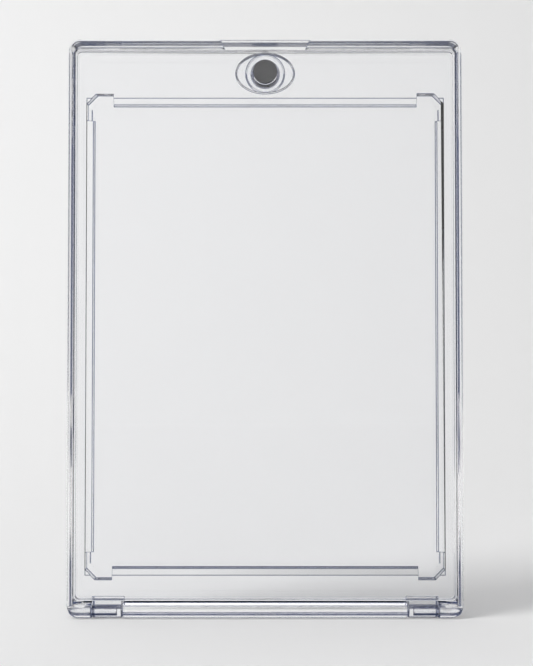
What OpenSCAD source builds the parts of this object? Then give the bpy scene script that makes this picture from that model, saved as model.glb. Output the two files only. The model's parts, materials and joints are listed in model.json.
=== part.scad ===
// Clear hinged display case for one standard trading card, closed by a magnetic catch.
// A thick rear shell with a rim all round carries a beveled card recess. A clear cover lies
// inside the rim, turns on two short pins at the bottom edge and is held by a magnet at the top.
// Every piece is drawn lying on its back, with x across, y up the case and z towards the front,
// and stand() then sets it upright: front on -Y, bottom edge on z = 0.

/* [Case] */
// Width of the whole case
case_w = 76.8; // [75:0.1:90]
// Height of the whole case
case_h = 112.5; // [112:0.1:125]
// Thickness of the whole case, front to back
case_t = 8; // [7.5:0.1:11]
// Radius of the four outer corners, seen from the front
corner_r = 2.4; // [1.6:0.1:4]
// Rounding where the front face turns into the steep facet round it
front_edge_r = 0.6; // [0.5:0.05:0.75]
// Width of the steep facet, seen from the front
facet_w = 0.35; // [0.25:0.05:0.45]
// How far the steep facet reaches back
facet_d = 0.9; // [0.7:0.05:0.95]
// Rounding of the outer rear edge
rear_edge_r = 1.2; // [0.2:0.05:1.5]
// Thickness of the rim along both sides
side_rim = 1.35; // [1:0.05:2]
// Thickness of the rim along the top
top_rim = 2.05; // [1.2:0.05:3.5]
// Corner radius of the well that the cover lies in
well_corner_r = 1.1; // [0.6:0.05:2]

/* [Card recess] */
// Width of the recess at its mouth
recess_w = 70; // [69:0.1:72]
// Height of the recess at its mouth
recess_h = 93.2; // [92.5:0.1:95]
// Height of the recess mouth's lower edge above the bottom of the case
recess_rise = 8; // [6.5:0.1:8.5]
// Depth of the recess below the face that the cover closes on
recess_d = 1.4; // [1.2:0.05:2.2]
// Width of the sloping lead-in along the four sides
lead_in_w = 1.25; // [0.4:0.05:2]
// Depth at which the sloping lead-in ends and the upright walls begin
lead_in_d = 0.5; // [0.35:0.05:0.9]
// Depth of the small upright step at the recess mouth, before the lead-in
lead_in_step = 0.15; // [0.05:0.05:0.25]
// How far the steep walls of recess and reliefs lean inwards
wall_lean = 0.15; // [0.02:0.01:0.2]
// Length of each corner relief along both walls
relief_l = 5.2; // [3.5:0.1:8]
// How far a relief reaches above or below the recess mouth
relief_reach = 0.85; // [0.2:0.05:1.5]
// Depth of the steep lip round each relief, above its sloping walls
relief_lip_d = 1.05; // [0.1:0.05:1.05]
// Width of a relief's wall above or below, lip and slope together
relief_slope_end = 1.15; // [0.5:0.05:1.8]
// Width of a relief's wall at the side, lip and slope together
relief_slope_flank = 0.85; // [0.4:0.05:1.2]
// Corner cut of each relief
relief_chamfer = 1.85; // [0.5:0.05:3]

/* [Thumb notch] */
// Width of the notch at the top of the rim
notch_top_w = 17.7; // [12:0.1:30]
// Width of the notch at the rim's lower edge
notch_base_w = 15.8; // [10:0.1:28]
// Depth of the notch from the front of the rim
notch_d = 1.6; // [0.8:0.1:2.6]

/* [Cover] */
// Thickness of the cover
cover_t = 3.4; // [3.2:0.1:4.2]
// How far the cover's face lies behind the front of the rim
cover_inset = 0.1; // [0:0.05:0.2]
// Gap between the cover and the rim at each side
cover_side_gap = 0.15; // [0.1:0.05:0.4]
// Gap between the cover and the rim at the top
cover_top_gap = 0.2; // [0.15:0.05:0.5]
// Gap between the cover and the hinge bar
cover_foot_gap = 0.35; // [0.3:0.05:0.6]
// Gap between the closed cover and the shell's face
seat_gap = 0.05; // [0.05:0.01:0.15]
// Corner radius of the cover
cover_corner_r = 1; // [0.6:0.05:1.8]
// Rounding of the cover's front edges
cover_front_r = 0.4; // [0.1:0.05:0.5]
// Rounding of the cover's rear edges
cover_rear_r = 0.25; // [0.1:0.05:0.5]

/* [Hinge] */
// Height of the hinge bar along the bottom edge, whose middle is the hinge axis
bar_d = 3.1; // [2.8:0.1:3.3]
// Length of each cover knuckle
knuckle_l = 5.6; // [4:0.1:8]
// Distance from the middle of the case to the middle of each knuckle
knuckle_x = 30.45; // [26:0.05:30.6]
// How much smaller the knuckle's radius is than the bar's
knuckle_drop = 0.1; // [0.05:0.05:0.2]
// Thickness of the neck between knuckle and cover
neck_t = 2.4; // [2:0.1:2.5]
// Gap at each end of a knuckle
knuckle_gap = 0.25; // [0.1:0.05:0.4]
// How far the slot behind a knuckle reaches above the bar
slot_rise = 0.75; // [0.4:0.05:1.2]
// How far the slot goes into the shell behind the cover's seat
slot_d = 1.7; // [0.5:0.1:2.6]
// Diameter of the two hinge pins
pin_d = 1.4; // [1:0.1:1.8]
// Wall that closes each knuckle beyond the pin's inner end
pin_stop = 0.9; // [0.6:0.1:1.6]
// Gap between the pin's inner end and that wall
pin_end_gap = 0.1; // [0.05:0.05:0.3]
// How far each pin's outer end lies inside the side of the case
pin_inset = 0.8; // [0.7:0.1:2]
// Running clearance around the pin in the knuckle
pin_run_gap = 0.06; // [0.02:0.01:0.1]

/* [Magnetic catch] */
// Distance from the top of the case to the middle of the catch
catch_drop = 6.5; // [6:0.1:6.8]
// Diameter of the steel disc in the cover
disc_d = 4.75; // [4:0.05:5.4]
// Thickness of the steel disc
disc_t = 1.3; // [0.8:0.1:1.6]
// Clear plastic in front of the steel disc
disc_skin = 0.8; // [0.5:0.1:1]
// Width of the oval cap behind the disc
oval_w = 11.5; // [9:0.1:14]
// Height of the oval cap
oval_h = 7.9; // [7:0.1:8.1]
// Width of the bevel round the oval cap's rear
oval_bevel_w = 0.24; // [0.05:0.01:0.3]
// Depth of the bevel round the oval cap's rear
oval_bevel_d = 0.38; // [0.1:0.02:0.6]
// Diameter of the magnet in the shell
magnet_d = 5.5; // [4.5:0.1:6]
// Thickness of the magnet
magnet_t = 2; // [1:0.1:2.2]
// Diameter of the round cap over the magnet
magnet_cap_d = 7.6; // [6.8:0.1:8]
// Thickness of the round cap
magnet_cap_t = 0.6; // [0.5:0.05:0.8]
// Width of the bevel round the round cap's front
cap_bevel_w = 0.2; // [0.05:0.01:0.3]
// Depth of the bevel round the round cap's front
cap_bevel_d = 0.3; // [0.1:0.02:0.4]

/* [Fits] */
// Gap around pieces that are bonded or pressed into a pocket
bond_gap = 0.02; // [0.01:0.01:0.05]
// Edge break on the metal pieces and pins
edge_break = 0.15; // [0.05:0.05:0.25]

/* [Hidden] */
$fn = 64;

OVAL_POINTS = 96;
PAST = 1;       // how far a cut runs past the surface that it opens
SKIN = 0.01;    // thickness of the thin slices that a hull joins

rear_z = -case_t / 2;
front_z = case_t / 2;
well_w = case_w - 2 * side_rim;
well_top = case_h - top_rim;
bar_r = bar_d / 2;
axis_z = front_z - bar_r;
axis_y = bar_r;

cover_front_z = front_z - cover_inset;
cover_rear_z = cover_front_z - cover_t;
seat_z = cover_rear_z - seat_gap;
facet_tilt = atan2(facet_d, facet_w);
edge_w = facet_w + front_edge_r * sin(facet_tilt);
edge_turn_d = front_edge_r * (1 - cos(facet_tilt));
edge_d = facet_d + edge_turn_d;
cover_w = well_w - 2 * cover_side_gap;
cover_foot = bar_d + cover_foot_gap;
cover_h = well_top - cover_top_gap - cover_foot;

recess_mid = recess_rise + recess_h / 2;
floor_z = seat_z - recess_d;

slot_w = knuckle_l + 2 * knuckle_gap;
slot_z = seat_z - slot_d;
knuckle_r = bar_r - knuckle_drop;
pin_r = pin_d / 2;
pin_bore_end = knuckle_x - knuckle_l / 2 + pin_stop;
pin_inner = pin_bore_end + pin_end_gap;
pin_outer = case_w / 2 - pin_inset;

catch_y = case_h - catch_drop;
disc_seat_z = cover_front_z - disc_skin;
disc_front_z = disc_seat_z - bond_gap;
disc_rear_z = disc_front_z - disc_t;
magnet_front_z = seat_z - magnet_cap_t - bond_gap;
magnet_rear_z = magnet_front_z - magnet_t;

CLEAR = [0.84, 0.87, 0.93, 0.4];
CLEAR_CAP = [0.74, 0.78, 0.88, 0.5];
STEEL = [0.37, 0.37, 0.38];
NICKEL = [0.72, 0.72, 0.78];

// ---- shared forms ----------------------------------------------------------------------

// Sets a piece that was drawn lying on its back upright.
module stand() {
    rotate([90, 0, 0])
        children();
}

// Half section of a slab's border, r wide and t thick. Its front edge is rounded to front_r,
// or has the rim's rounding and facet where rim_edge is true. Its rear edge is rounded.
module border_section(r, t, front_r, rear_r, rim_edge) {
    difference() {
        square([r, t]);
        if (rim_edge)
            translate([r, t])
                rim_edge_cut();
        if (front_r > 0)
            translate([r - front_r, t - front_r])
                round_off(front_r);
        if (rear_r > 0)
            translate([r - rear_r, rear_r])
                mirror([0, 1])
                    round_off(rear_r);
    }
}

// What is cut from a square corner to leave a radius r.
module round_off(r) {
    difference() {
        square(r + PAST);
        circle(r);
    }
}

// What is cut from a square corner at the origin for the rim's front edge.
module rim_edge_cut() {
    difference() {
        translate([-edge_w, -edge_d])
            square([edge_w + PAST, edge_d + PAST]);
        translate([-edge_w, -front_edge_r])
            circle(front_edge_r);
        polygon([[-edge_w - PAST, -edge_d - PAST], [0, -edge_d - PAST], [0, -edge_d],
                 [-facet_w, -edge_turn_d], [-edge_w, -front_edge_r],
                 [-edge_w - PAST, -front_edge_r]]);
    }
}

// Slab with round corners and rounded edges: centred in x, from y = 0 and z = 0 up.
module soft_slab(w, h, t, r, front_r = 0, rear_r = 0, rim_edge = false) {
    translate([-w / 2 + r, r, 0])
        cube([w - 2 * r, h - 2 * r, t]);
    for (k = [0:3]) {
        side = k < 2 ? 1 : -1;
        corner_y = (k == 0 || k == 3) ? h - r : r;
        run = k % 2 == 0 ? h - 2 * r : w - 2 * r;
        translate([side * (w / 2 - r), corner_y, 0])
            rotate([0, 0, -90 * k]) {
                rotate_extrude(angle = 90)
                    border_section(r, t, front_r, rear_r, rim_edge);
                rotate([90, 0, 0])
                    linear_extrude(height = run)
                        border_section(r, t, front_r, rear_r, rim_edge);
            }
    }
}

// Round bar along x, centred on the hinge axis, from x0 to x1.
module on_axis(x0, x1) {
    translate([x0, axis_y, axis_z])
        rotate([0, 90, 0])
            linear_extrude(height = x1 - x0)
                children();
}

// Round disc or pin along z with its edges broken.
module turned(r, t) {
    rotate_extrude()
        polygon([[0, 0], [r - edge_break, 0], [r, edge_break], [r, t - edge_break],
                 [r - edge_break, t], [0, t]]);
}

// Ellipse as an outline, w wide and h high.
module oval(w, h) {
    polygon([for (k = [0:OVAL_POINTS - 1])
        let (a = 360 * k / OVAL_POINTS)
        [w / 2 * cos(a), h / 2 * sin(a)]]);
}

// Oval plug, t thick, with a bevel round its rear.
module oval_plug(w, h, t) {
    hull() {
        linear_extrude(height = SKIN)
            oval(w - 2 * oval_bevel_w, h - 2 * oval_bevel_w);
        translate([0, 0, oval_bevel_d])
            linear_extrude(height = t - oval_bevel_d)
                oval(w, h);
    }
}

// Round plug, t thick, with a bevel round its front.
module round_plug(r, t) {
    cylinder(r = r, h = t - cap_bevel_d);
    translate([0, 0, t - cap_bevel_d])
        cylinder(r1 = r, r2 = r - cap_bevel_w, h = cap_bevel_d);
}

// ---- rear shell -------------------------------------------------------------------------

// Gives the hinge bar's upper edge the same rounding and facet as the rim's outer edge.
module bar_edge_cut() {
    translate([-well_w / 2, bar_d, front_z])
        rotate([0, 0, 90])
            rotate([90, 0, 0])
                linear_extrude(height = well_w)
                    rim_edge_cut();
}

// The four-sided recess: a small step at the mouth, a sloping lead-in and upright walls.
module recess_cut() {
    floor_w = recess_w - 2 * lead_in_w;
    floor_h = recess_h - 2 * lead_in_w;
    hull() {
        translate([-floor_w / 2, recess_mid - floor_h / 2, seat_z - lead_in_d])
            cube([floor_w, floor_h, SKIN]);
        translate([-recess_w / 2, recess_mid - recess_h / 2, seat_z - lead_in_step])
            cube([recess_w, recess_h, lead_in_step + SKIN]);
    }
    hull() {
        translate([-floor_w / 2 + wall_lean, recess_mid - floor_h / 2 + wall_lean, floor_z])
            cube([floor_w - 2 * wall_lean, floor_h - 2 * wall_lean, SKIN]);
        translate([-floor_w / 2, recess_mid - floor_h / 2, seat_z - lead_in_d])
            cube([floor_w, floor_h, lead_in_d]);
    }
}

// One level of a corner relief, in the upper right quarter about the recess's middle.
module relief_outline(in_side, in_end) {
    out_x = recess_w / 2;
    out_y = recess_h / 2 + relief_reach;
    x = out_x - in_side;
    y = out_y - in_end;
    polygon([[out_x - relief_l, out_y - relief_l], [x, out_y - relief_l],
             [x, y - relief_chamfer], [x - relief_chamfer, y], [out_x - relief_l, y]]);
}

module relief_cut() {
    hull() {
        translate([0, 0, floor_z])
            linear_extrude(height = SKIN)
                relief_outline(relief_slope_flank, relief_slope_end);
        translate([0, 0, seat_z - relief_lip_d])
            linear_extrude(height = SKIN)
                relief_outline(wall_lean, wall_lean);
        translate([0, 0, seat_z])
            linear_extrude(height = SKIN)
                relief_outline(0, 0);
    }
}

module all_reliefs_cut() {
    for (flip_x = [0, 1], flip_y = [0, 1])
        translate([0, recess_mid, 0])
            mirror([flip_x, 0, 0])
                mirror([0, flip_y, 0])
                    relief_cut();
}

// Slot in the bar and the shell behind it, in which one knuckle turns.
module knuckle_slot(side) {
    translate([side * knuckle_x - slot_w / 2, -PAST, slot_z])
        cube([slot_w, PAST + bar_d + slot_rise, front_z + PAST - slot_z]);
}

module thumb_notch() {
    slope = (notch_top_w - notch_base_w) / 2 / top_rim;
    low = well_top - cover_top_gap;
    high = case_h + PAST;
    half_low = notch_base_w / 2 - slope * cover_top_gap;
    half_high = notch_top_w / 2 + slope * PAST;
    translate([0, 0, front_z - notch_d])
        linear_extrude(height = notch_d + PAST)
            polygon([[-half_low, low], [half_low, low], [half_high, high], [-half_high, high]]);
}

module magnet_seat() {
    translate([0, catch_y, magnet_front_z])
        cylinder(r = magnet_cap_d / 2 + bond_gap, h = magnet_cap_t + PAST);
    translate([0, catch_y, magnet_rear_z - bond_gap])
        cylinder(r = magnet_d / 2 + bond_gap, h = magnet_t + PAST);
}

module pin_bores_shell() {
    for (side = [0, 1])
        mirror([side, 0, 0])
            on_axis(knuckle_x + knuckle_l / 2, case_w / 2 + PAST)
                circle(pin_r + bond_gap);
}

// Well for the cover: round corners at the top, and square ones where it meets the bar.
module cover_well() {
    depth = front_z - seat_z + PAST;
    translate([0, bar_d, seat_z])
        soft_slab(well_w, well_top - bar_d, depth, well_corner_r);
    translate([-well_w / 2, bar_d, seat_z])
        cube([well_w, 2 * well_corner_r, depth]);
}

module shell_blank() {
    difference() {
        translate([0, 0, rear_z])
            soft_slab(case_w, case_h, case_t, corner_r, 0, rear_edge_r, true);
        cover_well();
        bar_edge_cut();
        knuckle_slot(-1);
        knuckle_slot(1);
    }
}

module rear_shell() {
    color(CLEAR)
        stand()
            difference() {
                shell_blank();
                recess_cut();
                all_reliefs_cut();
                thumb_notch();
                magnet_seat();
                pin_bores_shell();
            }
}

// ---- front cover ------------------------------------------------------------------------

module knuckle(side) {
    on_axis(side * knuckle_x - knuckle_l / 2, side * knuckle_x + knuckle_l / 2)
        circle(knuckle_r);
    translate([side * knuckle_x - knuckle_l / 2, axis_y, axis_z - neck_t / 2])
        cube([knuckle_l, cover_foot - axis_y + cover_front_r + PAST, neck_t]);
}

module pin_bores_knuckle() {
    for (side = [0, 1])
        mirror([side, 0, 0])
            on_axis(pin_bore_end, knuckle_x + knuckle_l / 2 + PAST)
                circle(pin_r + pin_run_gap);
}

module disc_seat() {
    translate([0, catch_y, cover_rear_z - PAST])
        linear_extrude(height = disc_rear_z - cover_rear_z + PAST)
            oval(oval_w + 2 * bond_gap, oval_h + 2 * bond_gap);
    translate([0, catch_y, disc_rear_z - PAST])
        cylinder(r = disc_d / 2 + bond_gap, h = disc_seat_z - disc_rear_z + PAST);
}

module front_cover() {
    color(CLEAR)
        stand()
            difference() {
                union() {
                    translate([0, cover_foot, cover_rear_z])
                        soft_slab(cover_w, cover_h, cover_t, cover_corner_r,
                                  cover_front_r, cover_rear_r);
                    knuckle(-1);
                    knuckle(1);
                }
                pin_bores_knuckle();
                disc_seat();
            }
}

// ---- magnetic catch ---------------------------------------------------------------------

module striker_disc() {
    color(STEEL)
        stand()
            translate([0, catch_y, disc_rear_z])
                turned(disc_d / 2, disc_t);
}

module striker_cap() {
    color(CLEAR_CAP)
        stand()
            translate([0, catch_y, cover_rear_z])
                oval_plug(oval_w, oval_h, disc_rear_z - cover_rear_z - bond_gap);
}

module shell_magnet() {
    color(NICKEL)
        stand()
            translate([0, catch_y, magnet_rear_z])
                turned(magnet_d / 2, magnet_t);
}

module magnet_cap() {
    color(CLEAR_CAP)
        stand()
            translate([0, catch_y, magnet_front_z + bond_gap])
                round_plug(magnet_cap_d / 2, magnet_cap_t);
}

// ---- hinge pins -------------------------------------------------------------------------

module hinge_pin(side) {
    stand()
        translate([side * (side > 0 ? pin_inner : pin_outer), axis_y, axis_z])
            rotate([0, 90, 0])
                turned(pin_r, pin_outer - pin_inner);
}

module hinge_pin_left() {
    color(CLEAR_CAP)
        hinge_pin(-1);
}

module hinge_pin_right() {
    color(CLEAR_CAP)
        hinge_pin(1);
}

rear_shell();
front_cover();
striker_disc();
striker_cap();
shell_magnet();
magnet_cap();
hinge_pin_left();
hinge_pin_right();
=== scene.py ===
import json
import math

import bmesh
import bpy
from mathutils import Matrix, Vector

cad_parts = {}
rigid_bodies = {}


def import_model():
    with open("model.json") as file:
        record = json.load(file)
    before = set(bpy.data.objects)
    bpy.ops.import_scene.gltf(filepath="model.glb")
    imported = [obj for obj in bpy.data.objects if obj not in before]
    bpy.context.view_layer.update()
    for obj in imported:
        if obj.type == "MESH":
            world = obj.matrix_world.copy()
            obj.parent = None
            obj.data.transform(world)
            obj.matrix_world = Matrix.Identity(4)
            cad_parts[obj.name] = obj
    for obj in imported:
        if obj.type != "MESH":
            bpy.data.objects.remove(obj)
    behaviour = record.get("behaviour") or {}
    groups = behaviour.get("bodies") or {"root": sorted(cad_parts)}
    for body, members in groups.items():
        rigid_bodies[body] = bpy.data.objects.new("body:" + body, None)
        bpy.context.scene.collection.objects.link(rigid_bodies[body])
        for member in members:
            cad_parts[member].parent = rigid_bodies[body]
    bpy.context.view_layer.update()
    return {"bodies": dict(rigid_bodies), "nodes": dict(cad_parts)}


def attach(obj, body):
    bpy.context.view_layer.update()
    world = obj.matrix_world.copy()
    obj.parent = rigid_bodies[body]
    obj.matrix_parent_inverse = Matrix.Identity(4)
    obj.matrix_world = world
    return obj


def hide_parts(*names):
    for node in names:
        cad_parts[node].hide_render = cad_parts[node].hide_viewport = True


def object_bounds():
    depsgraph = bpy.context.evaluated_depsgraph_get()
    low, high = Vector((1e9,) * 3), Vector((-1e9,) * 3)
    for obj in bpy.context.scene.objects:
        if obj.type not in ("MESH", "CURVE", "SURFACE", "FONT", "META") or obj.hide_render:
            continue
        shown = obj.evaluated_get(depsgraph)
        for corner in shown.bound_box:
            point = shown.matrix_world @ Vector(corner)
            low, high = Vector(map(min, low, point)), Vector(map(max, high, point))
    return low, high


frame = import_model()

mm = 0.001


# ---- camera ----------------------------------------------------------------------------------

IMAGE_H = 666                    # the photograph's longer side, which the sensor's width spans
FOCAL_PX = 1133.5                # focal length, in pixels of the photograph
EYE_DISTANCE = 218.9 * mm        # from the lens to the case's front
EYE_HEIGHT = 49.15 * mm
EYE_RIGHT = 0.27 * mm
PITCH = math.radians(1.53)       # the lens looks up a little
SENSOR = 36.0
CLIP_NEAR, CLIP_FAR = 0.01, 20.0


def make_camera():
    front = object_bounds()[0][1]
    data = bpy.data.cameras.new("camera")
    data.sensor_width = SENSOR
    data.lens = FOCAL_PX / IMAGE_H * SENSOR
    data.clip_start = CLIP_NEAR
    data.clip_end = CLIP_FAR
    camera = bpy.data.objects.new("camera", data)
    camera.location = (EYE_RIGHT, front - EYE_DISTANCE, EYE_HEIGHT)
    camera.rotation_euler = (math.pi / 2 + PITCH, 0, 0)
    bpy.context.scene.collection.objects.link(camera)
    bpy.context.scene.camera = camera


# ---- node helpers ----------------------------------------------------------------------------

class Tree:
    """Short names for adding and joining the nodes of one tree."""

    def __init__(self, tree):
        self.tree = tree

    def add(self, kind, **settings):
        node = self.tree.nodes.new(kind)
        for key, value in settings.items():
            setattr(node, key, value)
        return node

    def join(self, source, target):
        self.tree.links.new(source, target)

    def math(self, operation, first, second=None):
        node = self.add("ShaderNodeMath", operation=operation)
        for socket, value in zip(node.inputs, (first, second)):
            if value is None:
                continue
            if isinstance(value, (int, float)):
                socket.default_value = value
            else:
                self.join(value, socket)
        return node.outputs[0]

    def ramp(self, value, low, high, to_low=0.0, to_high=1.0):
        node = self.add("ShaderNodeMapRange")
        node.interpolation_type = "SMOOTHSTEP"
        self.join(value, node.inputs["Value"])
        node.inputs["From Min"].default_value = low
        node.inputs["From Max"].default_value = high
        node.inputs["To Min"].default_value = to_low
        node.inputs["To Max"].default_value = to_high
        return node.outputs["Result"]

    def blend(self, factor, first, second):
        node = self.add("ShaderNodeMix", data_type="RGBA")
        self.join(factor, node.inputs["Factor"])
        for socket, value in ((node.inputs[6], first), (node.inputs[7], second)):
            if isinstance(value, tuple):
                socket.default_value = (*value, 1)
            else:
                self.join(value, socket)
        return node.outputs[2]

    def position(self, space):
        """The x, y and z of the point or direction that is being shaded."""
        place = self.add("ShaderNodeTexCoord")
        split = self.add("ShaderNodeSeparateXYZ")
        self.join(place.outputs[space], split.inputs[0])
        return [split.outputs[axis] for axis in "XYZ"]


def new_material(name):
    material = bpy.data.materials.new(name)
    material.use_nodes = True
    material.node_tree.nodes.clear()
    tree = Tree(material.node_tree)
    tree.output = tree.add("ShaderNodeOutputMaterial")
    shader = tree.add("ShaderNodeBsdfPrincipled")
    tree.join(shader.outputs["BSDF"], tree.output.inputs["Surface"])
    return material, tree, shader


# ---- materials -------------------------------------------------------------------------------

CLEAR_TINT = (0.984, 0.986, 0.992)
PAINTED_EDGE_SHADE = (0.025, 0.035, 0.09)         # painted shade: rounded edges drawn in a dark blue-black plastic
LAMPLIGHT_THROUGH = (0.62, 0.62, 0.63)   # what one surface of the case lets through of a lamp
BOUNCE_THROUGH = (0.95, 0.95, 0.955)     # and of the light that a dull surface sends on
ACRYLIC_IOR = 1.49
ACRYLIC_ROUGH = (0.0, 0.012)             # along the faint flow of the moulding
FLOW_SCALE, FLOW_DETAIL = 45.0, 2.0
FLOW_RANGE = (0.35, 0.75)
GRAIN_SCALE, GRAIN_DETAIL = 1800.0, 4.0
GRAIN_RANGE = (0.3, 0.7)
GRAIN_DARK, GRAIN_LIGHT = 0.8, 1.15      # the grain's colours, as shares of the metal's own
GRAIN_ROUGH = 0.06                       # how far the grain moves the roughness
DARK_STEEL = (0.125, 0.125, 0.125)
NICKEL = (0.75, 0.75, 0.86)


def speckle(tree, scale, detail):
    place = tree.add("ShaderNodeTexCoord")
    noise = tree.add("ShaderNodeTexNoise")
    noise.inputs["Scale"].default_value = scale
    noise.inputs["Detail"].default_value = detail
    tree.join(place.outputs["Object"], noise.inputs["Vector"])
    return noise.outputs["Fac"]


def clear_plastic(name, tint=CLEAR_TINT):
    """Polished acrylic that lets the light of lamps and of dull surfaces straight through."""
    material, tree, shader = new_material(name)
    shader.inputs["Base Color"].default_value = (*tint, 1)
    shader.inputs["Transmission Weight"].default_value = 1
    shader.inputs["IOR"].default_value = ACRYLIC_IOR
    flow = speckle(tree, FLOW_SCALE, FLOW_DETAIL)
    tree.join(tree.ramp(flow, *FLOW_RANGE, *ACRYLIC_ROUGH), shader.inputs["Roughness"])
    path = tree.add("ShaderNodeLightPath")
    lamp_ray, dull_ray = path.outputs["Is Shadow Ray"], path.outputs["Is Diffuse Ray"]
    clear = tree.add("ShaderNodeBsdfTransparent")
    tree.join(tree.blend(lamp_ray, BOUNCE_THROUGH, LAMPLIGHT_THROUGH), clear.inputs["Color"])
    mix = tree.add("ShaderNodeMixShader")
    tree.join(tree.math("MAXIMUM", lamp_ray, dull_ray), mix.inputs[0])
    tree.join(shader.outputs["BSDF"], mix.inputs[1])
    tree.join(clear.outputs["BSDF"], mix.inputs[2])
    tree.join(mix.outputs["Shader"], tree.output.inputs["Surface"])
    return material


def plastic_pair(name):
    """A piece's clear plastic, and the plastic of its rounded edges with painted dark shade."""
    return clear_plastic(name + "_plastic"), clear_plastic(name + "_edges", PAINTED_EDGE_SHADE)


def metal(name, colour, roughness, metallic=1.0):
    material, tree, shader = new_material(name)
    grain = speckle(tree, GRAIN_SCALE, GRAIN_DETAIL)
    dark = tuple(GRAIN_DARK * c for c in colour)
    light = tuple(GRAIN_LIGHT * c for c in colour)
    tree.join(tree.blend(tree.ramp(grain, *GRAIN_RANGE), dark, light),
              shader.inputs["Base Color"])
    tree.join(tree.ramp(grain, *GRAIN_RANGE, roughness - GRAIN_ROUGH, roughness + GRAIN_ROUGH),
              shader.inputs["Roughness"])
    shader.inputs["Metallic"].default_value = metallic
    return material


def dress(node, material):
    mesh = frame["nodes"][node].data
    mesh.materials.clear()
    mesh.materials.append(material)


# ---- clear pieces with their edges rounded over, and painted with dark shade -----------------

SHELL_EDGE, COVER_EDGE, CAP_EDGE = 0.12 * mm, 0.10 * mm, 0.05 * mm   # width of the rounding
END_SIDE, END_TOP = 37.0 * mm, 4.0 * mm      # past these, bore mouths and bar ends stay sharp
FLAT = math.radians(0.5)
SHARP = math.radians(25)
MERGE = 0.012 * mm
ACROSS = (0.5, 2.6)              # the angles, in radians, at which an edge crosses another
CROSSING_SHARE = 0.45            # how much of a crossing edge the rounding may take up
EDGE_SEGMENTS = 3
NORMAL_WEIGHT = 50


def crossing_length(edge):
    """The shortest edge that leaves either end of an edge across its direction."""
    shortest = 1.0               # metres, longer than any edge of the case
    for vert in edge.verts:
        along = edge.other_vert(vert).co - vert.co
        for other in vert.link_edges:
            if other is not edge:
                out = other.other_vert(vert).co - vert.co
                if ACROSS[0] < along.angle(out, 0.0) < ACROSS[1]:
                    shortest = min(shortest, out.length)
    return shortest


def stays_sharp(edge):
    return all(abs(vert.co.x) > END_SIDE and vert.co.z < END_TOP for vert in edge.verts)


def softened(node, name, body, materials, width):
    """A copy of a CAD node with its sharp edges rounded, in the second of two materials, which
    paints them with dark shade.
    """
    mesh = bpy.data.meshes.new(name)
    bm = bmesh.new()
    bm.from_mesh(frame["nodes"][node].data)
    bmesh.ops.remove_doubles(bm, verts=bm.verts, dist=MERGE)
    bmesh.ops.dissolve_limit(bm, angle_limit=FLAT, verts=bm.verts, edges=bm.edges)
    weight = bm.edges.layers.float.new("bevel_weight_edge")
    for edge in bm.edges:
        edge.smooth = True
        if edge.is_manifold and edge.calc_face_angle() > SHARP and not stays_sharp(edge):
            edge[weight] = min(1.0, CROSSING_SHARE * crossing_length(edge) / width)
    for face in bm.faces:
        face.smooth = True
    bm.to_mesh(mesh)
    bm.free()
    mesh.materials.clear()
    for material in materials:
        mesh.materials.append(material)
    piece = bpy.data.objects.new(name, mesh)
    bpy.context.scene.collection.objects.link(piece)
    bevel = piece.modifiers.new("edges", "BEVEL")
    bevel.limit_method = "WEIGHT"
    bevel.width = width
    bevel.segments = EDGE_SEGMENTS
    bevel.use_clamp_overlap = False
    bevel.harden_normals = False
    # the rounding takes the second material, the painted dark edge shade
    bevel.material = 1
    normals = piece.modifiers.new("normals", "WEIGHTED_NORMAL")
    normals.weight = NORMAL_WEIGHT
    normals.keep_sharp = True
    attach(piece, body)
    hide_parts(node)


# ---- studio ----------------------------------------------------------------------------------

PAPER = (0.86, 0.86, 0.86)
PAPER_ROUGH, PAPER_SPECULAR = 0.9, 0.1
ROOM_DARK = (0.032, 0.050, 0.140)        # the unlit room beside and above the white sweep: the world's dim light there, and a painted dark reflection on the sweep
ROOM_FRONT = (0.80, 0.80, 0.80)          # white boards round the camera, and past the sweep
ROOM_DIM = (0.045, 0.045, 0.045)         # what little light the room itself gives
PAINTED_BOARD_HIGHLIGHT = (1.05, 1.05, 1.08)               # painted highlight: a white board painted on the sweep above the dark strip, for mirrored rays
BOARDS_TURN = (0.72, 0.84)               # how squarely to the front a ray meets the boards
FRONT_FADE = (0.12, 0.70)                # the sweep's outer parts fade into the tone beyond
SIDE_FADE = (0.45, 1.30)
DARK_LEFT = (0.26, 0.29, 3.0, 4.0)       # painted dark room beside the sweep, for mirrored rays: from, full, to full, to
DARK_RIGHT = (0.28, 0.32, 0.60, 0.66)
DARK_TOP = (0.34, 0.37, 0.41, 0.44)      # and a painted dark strip above it, by height, below the painted board
FLOOR_GAP = 0.05 * mm                    # air under the case, as under any loose object
PAINTED_CONTACT_SHADE = (0.10, 0.13, 0.23)             # painted contact shade on the floor in the narrow gap under and behind the case
CONTACT_SIDE = 38.2 * mm
CONTACT_BACK = 7.0 * mm
CONTACT_FRONT = 4.2 * mm
CONTACT_FADE = 3.0 * mm
BOUNCES = 24


def ray_kinds(tree):
    """Three marks of 0 or 1: seen from the case, mirrored in the case, and seen straight.

    A straight ray comes from the camera, or through the case without being mirrored there.
    """
    path = tree.add("ShaderNodeLightPath")
    from_case = tree.math("MAXIMUM", path.outputs["Is Glossy Ray"],
                          path.outputs["Is Transmission Ray"])
    mirrored = tree.math("MULTIPLY", from_case,
                         tree.math("MINIMUM", path.outputs["Glossy Depth"], 1.0))
    straight = tree.math("MAXIMUM", path.outputs["Is Camera Ray"],
                         tree.math("SUBTRACT", from_case, mirrored))
    return from_case, mirrored, straight


def between(tree, value, limits):
    """1 between the middle two limits, and 0 outside the outer two."""
    rise, full, fall, gone = limits
    return tree.math("SUBTRACT", tree.ramp(value, rise, full), tree.ramp(value, fall, gone))


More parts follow.
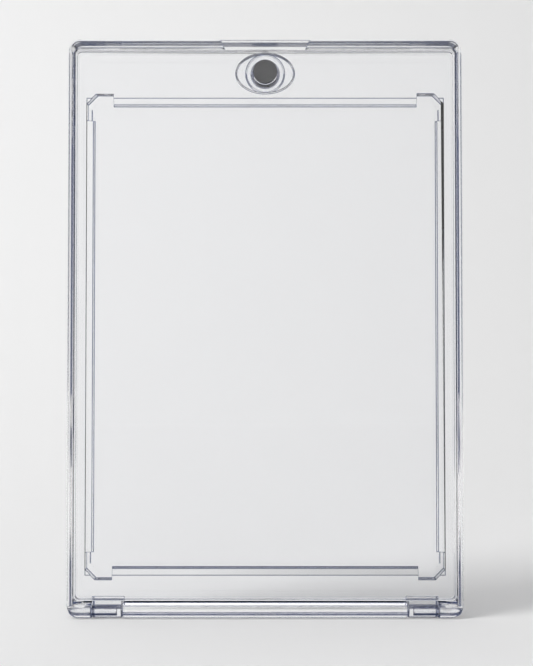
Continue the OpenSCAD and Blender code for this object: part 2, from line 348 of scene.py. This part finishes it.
def outside_painted_contact_shade(tree, side, front, y, z):
    """0 in the narrow gap under and behind the case, where the floor gets painted contact shade,
    and 1 away from it.
    """
    away = 0.0
    for reach, start, end in (
            (side, CONTACT_SIDE, CONTACT_SIDE + CONTACT_FADE),
            (y, CONTACT_BACK, CONTACT_BACK + CONTACT_FADE),
            (front, CONTACT_FRONT, 2 * CONTACT_FRONT),
            (z, 0.0, CONTACT_FRONT)):
        away = tree.math("MAXIMUM", tree.ramp(reach, start, end), away)
    return away


def sweep_paper():
    """Plain paper to the camera and the lamps, with a painted dark strip above it for the case.

    Rays that the case mirrors also meet a painted reflection of a dark room beside it and a
    painted white board highlight over it. Rays from the case meet painted contact shade under
    and behind it. Its outer parts fade into the tone of the world beyond, so that no edge of it
    shows.
    """
    material, tree, shader = new_material("floor_paper")
    x, y, z = tree.position("Object")
    side = tree.math("ABSOLUTE", x)
    front = tree.math("MULTIPLY", y, -1.0)
    left = tree.math("MULTIPLY", x, -1.0)
    from_case, mirrored, straight = ray_kinds(tree)

    # painted reflection for rays from the case: a dark strip over the paper, a dark room beside
    # it, and a white board highlight above
    top = between(tree, z, DARK_TOP)
    beside = tree.math("MAXIMUM", between(tree, left, DARK_LEFT), between(tree, x, DARK_RIGHT))
    lit = tree.blend(tree.ramp(z, *DARK_TOP[2:]), PAPER, PAINTED_BOARD_HIGHLIGHT)
    room = tree.blend(tree.math("MAXIMUM", beside, top), lit, ROOM_DARK)
    colour = tree.blend(mirrored, tree.blend(top, PAPER, ROOM_DARK), room)
    # painted contact shade under and behind the case, for rays from the case only
    colour = tree.blend(outside_painted_contact_shade(tree, side, front, y, z), PAINTED_CONTACT_SHADE, colour)
    tree.join(tree.blend(from_case, PAPER, colour), shader.inputs["Base Color"])
    shader.inputs["Roughness"].default_value = PAPER_ROUGH
    shader.inputs["Specular IOR Level"].default_value = PAPER_SPECULAR

    far_front = tree.ramp(front, *FRONT_FADE)
    far = tree.math("MAXIMUM", far_front, tree.ramp(side, *SIDE_FADE))
    faded = tree.math("MAXIMUM", tree.math("MULTIPLY", from_case, far_front),
                      tree.math("MULTIPLY", straight, far))
    beyond = tree.add("ShaderNodeEmission")
    beyond.inputs["Color"].default_value = (*ROOM_FRONT, 1)
    mix = tree.add("ShaderNodeMixShader")
    tree.join(faded, mix.inputs[0])
    tree.join(shader.outputs["BSDF"], mix.inputs[1])
    tree.join(beyond.outputs["Emission"], mix.inputs[2])
    tree.join(mix.outputs["Shader"], tree.output.inputs["Surface"])
    return material


def sweep_mesh():
    """A strip that lies flat under the case and bends up behind it."""
    width, depth_front, depth_back, height, bend = 3.0, 0.9, 0.55, 1.6, 0.35
    steps = 24
    profile = [(-depth_front, 0.0), (depth_back - bend, 0.0)]
    for k in range(1, steps + 1):
        a = math.pi / 2 * k / steps
        profile.append((depth_back - bend + bend * math.sin(a), bend - bend * math.cos(a)))
    profile.append((depth_back, height))
    verts, faces = [], []
    for y, z in profile:
        verts += [(-width / 2, y, z - FLOOR_GAP), (width / 2, y, z - FLOOR_GAP)]
    for k in range(len(profile) - 1):
        faces.append((2 * k, 2 * k + 1, 2 * k + 3, 2 * k + 2))
    mesh = bpy.data.meshes.new("floor")
    mesh.from_pydata(verts, [], faces)
    for polygon in mesh.polygons:
        polygon.use_smooth = True
    return mesh


def lie_under_open_cover(floor):
    """Lowers the sweep to the open cover's top edge where that hangs below the standing case."""
    top = bpy.data.objects.new("cover_top", None)
    top.location = (0, 0, max(corner[2] for corner in frame["nodes"]["front_cover"].bound_box))
    top.parent = frame["bodies"]["cover"]
    bpy.context.scene.collection.objects.link(top)
    follow = floor.constraints.new("COPY_LOCATION")
    follow.target = top
    follow.use_x = follow.use_y = False
    stop = floor.constraints.new("LIMIT_LOCATION")
    stop.use_max_z = True
    stop.max_z = 0.0


def make_floor():
    floor = bpy.data.objects.new("floor", sweep_mesh())
    bpy.context.scene.collection.objects.link(floor)
    floor.data.materials.append(sweep_paper())
    lie_under_open_cover(floor)


def make_world():
    """A dim room with boards round the camera, and one pale tone for straight rays."""
    world = bpy.data.worlds.new("studio")
    bpy.context.scene.world = world
    world.use_nodes = True
    tree = Tree(world.node_tree)
    background = world.node_tree.nodes["Background"]
    y = tree.position("Generated")[1]
    boards = tree.ramp(tree.math("MULTIPLY", y, -1.0), *BOARDS_TURN)
    from_case, _, straight = ray_kinds(tree)
    room = tree.blend(from_case, ROOM_DIM, ROOM_DARK)
    tree.join(tree.blend(tree.math("MAXIMUM", straight, boards), room, ROOM_FRONT),
              background.inputs["Color"])
    background.inputs["Strength"].default_value = 1.0


def area_light(name, place, target, size, power):
    data = bpy.data.lights.new(name, "AREA")
    data.shape = "RECTANGLE"
    data.size, data.size_y = size
    data.energy = power
    lamp = bpy.data.objects.new(name, data)
    lamp.location = place
    aim = Vector(target) - Vector(place)
    lamp.rotation_euler = aim.to_track_quat("-Z", "Y").to_euler()
    lamp.visible_glossy = False              # the case mirrors the room, not the bare lamps
    lamp.visible_transmission = False
    bpy.context.scene.collection.objects.link(lamp)


def make_lights():
    area_light("key", place=(-1.25, -0.65, 1.42), target=(0, 0.1, 0.0),
               size=(0.8, 0.8), power=23.0)
    area_light("fill", place=(1.0, -1.2, 0.8), target=(0, 0.1, 0.05),
               size=(0.8, 0.8), power=0.6)
    area_light("top", place=(-0.1, 0.0, 1.3), target=(0, 0.1, 0.0),
               size=(0.8, 0.5), power=3.6)


def set_scene():
    scene = bpy.context.scene
    scene.view_settings.view_transform = "Standard"
    scene.cycles.transmission_bounces = BOUNCES
    scene.cycles.max_bounces = BOUNCES
    scene.cycles.glossy_bounces = BOUNCES
    scene.cycles.transparent_max_bounces = BOUNCES
    scene.cycles.caustics_reflective = False
    scene.cycles.caustics_refractive = False


make_camera()
make_floor()
make_world()
make_lights()
set_scene()

# each pair: the clear plastic, and the same plastic with painted dark shade for rounded edges
shell_plastic = plastic_pair("shell")
cover_plastic = plastic_pair("cover")
cap_plastic = plastic_pair("cap")
softened("rear_shell", "shell_body", "shell", shell_plastic, SHELL_EDGE)
softened("front_cover", "cover_body", "cover", cover_plastic, COVER_EDGE)
softened("striker_cap", "striker_cap_body", "cover", cap_plastic, CAP_EDGE)
softened("magnet_cap", "magnet_cap_body", "shell", cap_plastic, CAP_EDGE)
dress("hinge_pin_left", cap_plastic[0])
dress("hinge_pin_right", cap_plastic[0])
dress("striker_disc", metal("dark_steel", DARK_STEEL, roughness=0.5, metallic=0.5))
dress("shell_magnet", metal("nickel", NICKEL, roughness=0.3))
